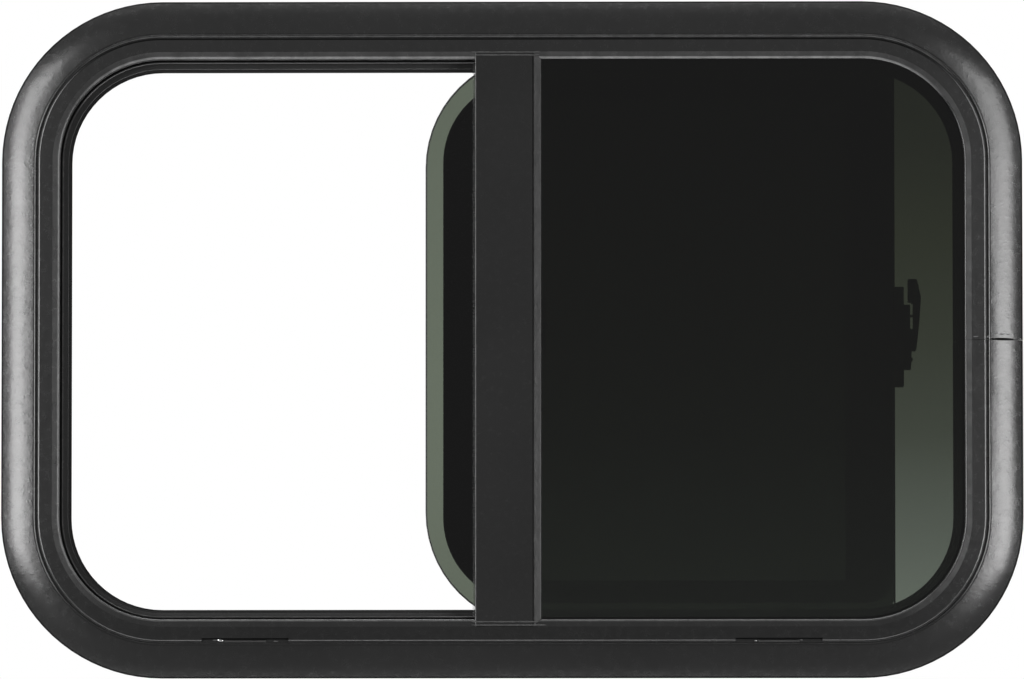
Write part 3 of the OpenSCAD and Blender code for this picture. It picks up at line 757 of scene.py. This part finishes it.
# Fine rounding of the cut edges of glass and of small moulded pieces, in millimetres
ROUNDINGS = {
    "fixed_glass": 0.5, "sash_glass": 0.9, "latch_base": 0.35, "latch_lever": 0.5, "latch_keeper": 0.4,
    "clamp_ring": 0.25, "track_stop_open": 0.5, "track_stop_closed": 0.5, "sash_frame": 0.4,
    "sash_stile": 0.5, "setting_block_left": 0.4, "setting_block_right": 0.4,
    "sash_glide_left": 0.35, "sash_glide_right": 0.35, "sash_guide_left": 0.35, "sash_guide_right": 0.35}
for name, width in ROUNDINGS.items():
    weld = NODES[name].modifiers.new("weld", "WELD")
    weld.merge_threshold = 0.00001
    bevel = NODES[name].modifiers.new("rounding", "BEVEL")
    bevel.width, bevel.segments, bevel.limit_method = width * MM, 2, "ANGLE"
    bevel.angle_limit = math.radians(40)
    bevel.harden_normals = True

# Stage, lights and camera
STUDIO_LEVEL, STAGE_ALBEDO = 0.235, 0.15


def rays(nodes, *kinds):
    """1 where the ray is one of these kinds."""
    path = nodes.new("ShaderNodeLightPath")
    found = path.outputs[kinds[0]]
    for kind in kinds[1:]:
        either = nodes.new("ShaderNodeMath")
        either.operation = "MAXIMUM"
        found.node.id_data.links.new(found, either.inputs[0])
        found.node.id_data.links.new(path.outputs[kind], either.inputs[1])
        found = either.outputs[0]
    return found


def pale(name, glow, *kinds):
    """A pale matt surface that these kinds of ray see as white, to the share of glow."""
    material = bpy.data.materials.new(name)
    material.use_nodes = True
    nodes, links = material.node_tree.nodes, material.node_tree.links
    shader = nodes["Principled BSDF"]
    shader.inputs["Base Color"].default_value = (*grey(STAGE_ALBEDO), 1)
    shader.inputs["Roughness"].default_value = 0.9
    share = nodes.new("ShaderNodeMath")
    share.operation = "MULTIPLY"
    links.new(rays(nodes, *kinds), share.inputs[0])
    share.inputs[1].default_value = glow
    white = nodes.new("ShaderNodeEmission")
    mix = nodes.new("ShaderNodeMixShader")
    links.new(share.outputs[0], mix.inputs[0])
    links.new(shader.outputs[0], mix.inputs[1])
    links.new(white.outputs[0], mix.inputs[2])
    links.new(mix.outputs[0], nodes["Material Output"].inputs[0])
    return material


def quad(name, corners, material):
    mesh = bpy.data.meshes.new(name)
    mesh.from_pydata(corners, [], [(0, 1, 2, 3)])
    mesh.materials.append(material)
    obj = bpy.data.objects.new(name, mesh)
    bpy.context.scene.collection.objects.link(obj)
    return obj


FLOOR_Z, WALL_Y, SPAN = -0.9, 18, 25
quad("floor",
     [(-SPAN, -SPAN, FLOOR_Z), (SPAN, -SPAN, FLOOR_Z), (SPAN, WALL_Y, FLOOR_Z), (-SPAN, WALL_Y, FLOOR_Z)],
     pale("floor_white", 0.7, "Is Camera Ray", "Is Transmission Ray"))
quad("backdrop",
     [(-SPAN, WALL_Y, FLOOR_Z), (SPAN, WALL_Y, FLOOR_Z), (SPAN, WALL_Y, SPAN), (-SPAN, WALL_Y, SPAN)],
     pale("backdrop_white", 1.0, "Is Camera Ray", "Is Glossy Ray", "Is Transmission Ray"))


def softbox(name, azimuth, elevation, distance, width, height, radiance):
    """An area lamp that faces the window from an angle off its outward normal."""
    a, e = math.radians(azimuth), math.radians(elevation)
    place = Vector((math.sin(a) * math.cos(e), -math.cos(a) * math.cos(e), math.sin(e))) * distance
    lamp = bpy.data.lights.new(name, "AREA")
    lamp.shape = "RECTANGLE"
    lamp.size, lamp.size_y = width, height
    lamp.energy = radiance * math.pi * width * height
    obj = bpy.data.objects.new(name, lamp)
    bpy.context.scene.collection.objects.link(obj)
    obj.location = place
    obj.rotation_euler = (-place).to_track_quat("-Z", "Y").to_euler()
    return obj


# Azimuth, elevation, distance, width, height and radiance of each lamp
LAMPS = {
    "left_softbox": (-46.2, 10.0, 2.59, 1.0, 2.0, 7.6),
    "left_lower_softbox": (-46.2, -1.5, 2.55, 1.0, 0.97, 3.7),
    "right_softbox": (42.4, 7.6, 2.54, 1.08, 2.0, 5.4),
    "right_lower_softbox": (42.4, -4.8, 2.53, 1.08, 0.9, 4.8),
    "ceiling_strip": (0, 81, 1.6, 2.0, 0.4, 6),
    "floor_strip": (0, -79.7, 0.84, 2.0, 0.26, 4.2),
    "room_side_light": (200, 35, 2.6, 1.6, 1.0, 2.5),
}
for name, values in LAMPS.items():
    softbox(name, *values)

world = bpy.data.worlds.new("studio")
bpy.context.scene.world = world
world.use_nodes = True
background = world.node_tree.nodes["Background"]
background.inputs[0].default_value = (1, 1, 1, 1)
links = world.node_tree.links
seen = rays(world.node_tree.nodes, "Is Camera Ray", "Is Transmission Ray")
strength = world.node_tree.nodes.new("ShaderNodeMapRange")
links.new(seen, strength.inputs["Value"])
strength.inputs["To Min"].default_value = STUDIO_LEVEL
strength.inputs["To Max"].default_value = 1.0
links.new(strength.outputs[0], background.inputs[1])

# The camera's place and lens follow from lines measured in the photograph
AZIMUTH, ELEVATION, ROLL = math.radians(0.6), math.radians(-3.97), math.radians(-0.022)
DISTANCE, FOCAL_PIXELS, PHOTO_WIDTH, SENSOR = 8.0, 10978, 1024, 36
aim = Vector((0.00001, 0, -0.00005))
back = Vector((math.sin(AZIMUTH) * math.cos(ELEVATION), -math.cos(AZIMUTH) * math.cos(ELEVATION),
               math.sin(ELEVATION)))
lens = bpy.data.cameras.new("camera")
lens.sensor_width = SENSOR
lens.lens = SENSOR * FOCAL_PIXELS / PHOTO_WIDTH
camera = bpy.data.objects.new("camera", lens)
bpy.context.scene.collection.objects.link(camera)
camera.location = aim + back * DISTANCE
turn = (-back).to_track_quat("-Z", "Y").to_matrix() @ Matrix.Rotation(ROLL, 3, "Z")
camera.rotation_euler = turn.to_euler()
bpy.context.scene.camera = camera

bpy.context.scene.view_settings.view_transform = "Standard"
